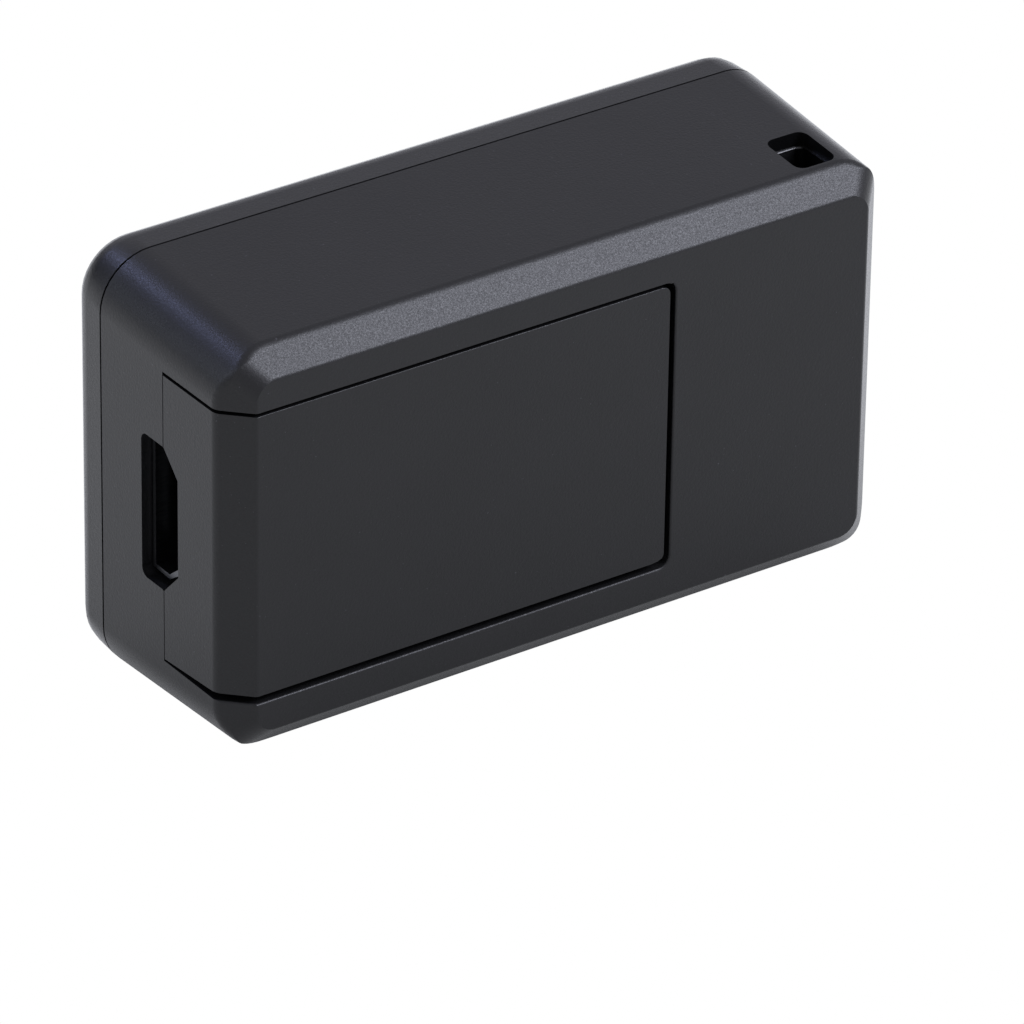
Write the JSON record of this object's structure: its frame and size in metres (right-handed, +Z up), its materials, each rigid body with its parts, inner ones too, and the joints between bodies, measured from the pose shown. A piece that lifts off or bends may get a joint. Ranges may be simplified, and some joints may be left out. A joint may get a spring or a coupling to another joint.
{
  "type": "gps tracker",
  "caption": "Pocket gps tracker in a black moulded box with a sliding card door, charging socket, strap slot and a magnetic back plate.",
  "frame": {"origin": "under the middle of the body, on the long narrow side that it stands on in the picture", "axes": "+X runs from the socket end to the strap end, +Y from the card door to the magnet face, +Z up from the side it stands on"},
  "size_m": [0.0396, 0.0144, 0.0236],
  "materials": {
    "housing_plastic": "fine textured black moulding",
    "door_plastic": "fine textured black moulding",
    "back_plastic": "fine textured black moulding",
    "board_green": "solder resist over glass fibre board",
    "holder_plastic": "satin black moulding",
    "card_white": "satin white card",
    "card_black": "satin black card",
    "spring_gold": "gold plated spring",
    "tin_sheet": "tin plated sheet",
    "socket_steel": "nickel plated sheet",
    "tongue_plastic": "black moulding",
    "pouch_foil": "laminated foil",
    "lead_red": "red insulation",
    "lead_black": "black insulation",
    "chip_black": "moulded chip body",
    "crystal_can": "gold toned metal can",
    "part_ceramic": "fired ceramic body",
    "microphone_can": "drawn can",
    "antenna_ceramic": "fired ceramic block",
    "antenna_copper": "copper track on film",
    "magnet_nickel": "nickel plated disc",
    "tape_amber": "amber film",
    "foam_grey": "closed cell foam",
    "sheet_yellow": "fish paper sheet"
  },
  "bodies": {
    "housing": {"main_shell": "housing_plastic", "back_plate": "back_plastic", "circuit_board": "board_green", "card_holder": "holder_plastic", "sim_contacts": "spring_gold", "memory_contacts": "spring_gold", "memory_socket_cover": "tin_sheet", "usb_shell": "socket_steel", "usb_tongue": "tongue_plastic", "usb_contacts": "spring_gold", "battery_cell": "pouch_foil", "battery_guard_board": "board_green", "battery_lead_plus": "lead_red", "battery_lead_minus": "lead_black", "modem_shield": "tin_sheet", "modem_chip": "chip_black", "charger_chip": "chip_black", "flash_chip": "chip_black", "clock_crystal": "crystal_can", "small_components": "part_ceramic", "microphone": "microphone_can", "satellite_antenna": "antenna_ceramic", "phone_antenna": "antenna_copper", "antenna_spring": "spring_gold", "magnets": "magnet_nickel", "magnet_tape": "tape_amber", "battery_pad": "foam_grey", "insulation_sheet": "sheet_yellow"},
    "cover": {"bay_cover": "door_plastic"},
    "memory_card": {"memory_card": "card_black"},
    "sim_card": {"sim_card": "card_white"}
  },
  "joints": [
    {"name": "cover_slide", "type": "slide", "parent": "housing", "child": "cover", "axis": [-1, 0, 0], "range_m": [0, 0.027]},
    {"name": "memory_card_slide", "type": "slide", "parent": "housing", "child": "memory_card", "axis": [-1, 0, 0], "range_m": [0, 0.009]},
    {"name": "sim_card_play", "type": "slide", "parent": "housing", "child": "sim_card", "axis": [-1, 0, 0], "range_m": [0, 0.0004]}
  ]
}
